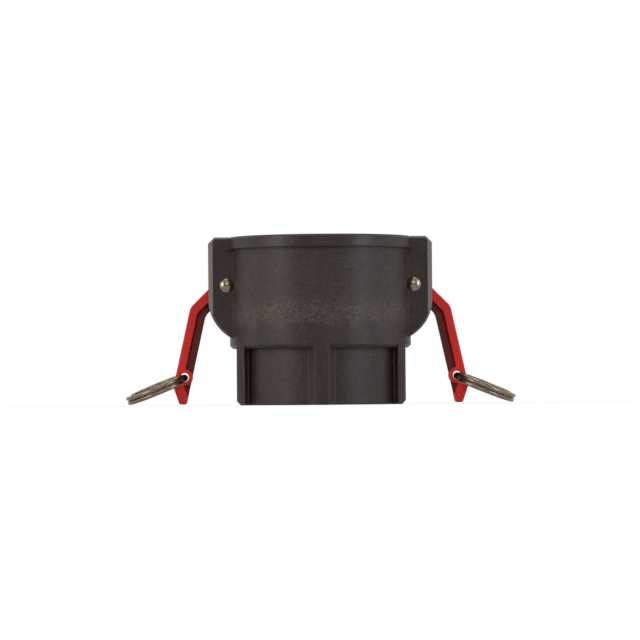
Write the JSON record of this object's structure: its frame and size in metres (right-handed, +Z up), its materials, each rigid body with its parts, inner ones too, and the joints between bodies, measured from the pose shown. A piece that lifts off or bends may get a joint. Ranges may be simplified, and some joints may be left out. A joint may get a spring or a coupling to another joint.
{
  "type": "cam and groove coupling",
  "caption": "Moulded cam and groove coupler with hinged cam arms, finger rings, a gasketed socket and a female pipe thread.",
  "frame": {"origin": "middle of the threaded end face, on the axis of the bore", "axes": "+Z up the bore to the mouth, +X through the right cam arm, both pivots along Y"},
  "size_m": [0.2346, 0.1148, 0.1006],
  "materials": {
    "moulded_black": "glass filled polypropylene, chalky moulded skin",
    "moulded_red": "moulded nylon, soft gloss",
    "stainless": "drawn stainless wire and rod",
    "gasket_rubber": "moulded nitrile rubber"
  },
  "bodies": {
    "coupler": {"coupler_body": "moulded_black", "gasket": "gasket_rubber", "pivot_pin_left": "stainless", "pivot_pin_right": "stainless"},
    "arm_right": {"cam_arm_right": "moulded_red"},
    "arm_left": {"cam_arm_left": "moulded_red"},
    "ring_right": {"finger_ring_right": "stainless"},
    "ring_left": {"finger_ring_left": "stainless"}
  },
  "joints": [
    {"name": "arm_right_pivot", "type": "hinge", "parent": "coupler", "child": "arm_right", "pos_m": [0.056, 0, 0.0717], "axis": [0, -1, 0], "range_deg": [0, 105]},
    {"name": "arm_left_pivot", "type": "hinge", "parent": "coupler", "child": "arm_left", "pos_m": [-0.056, 0, 0.0717], "axis": [0, 1, 0], "range_deg": [0, 105]},
    {"name": "ring_right_swing", "type": "hinge", "parent": "arm_right", "child": "ring_right", "pos_m": [0.08192, 0, 0.0171], "axis": [0, -1, 0], "range_deg": [-105, 105]},
    {"name": "ring_left_swing", "type": "hinge", "parent": "arm_left", "child": "ring_left", "pos_m": [-0.08192, 0, 0.0171], "axis": [0, 1, 0], "range_deg": [-105, 105]}
  ]
}
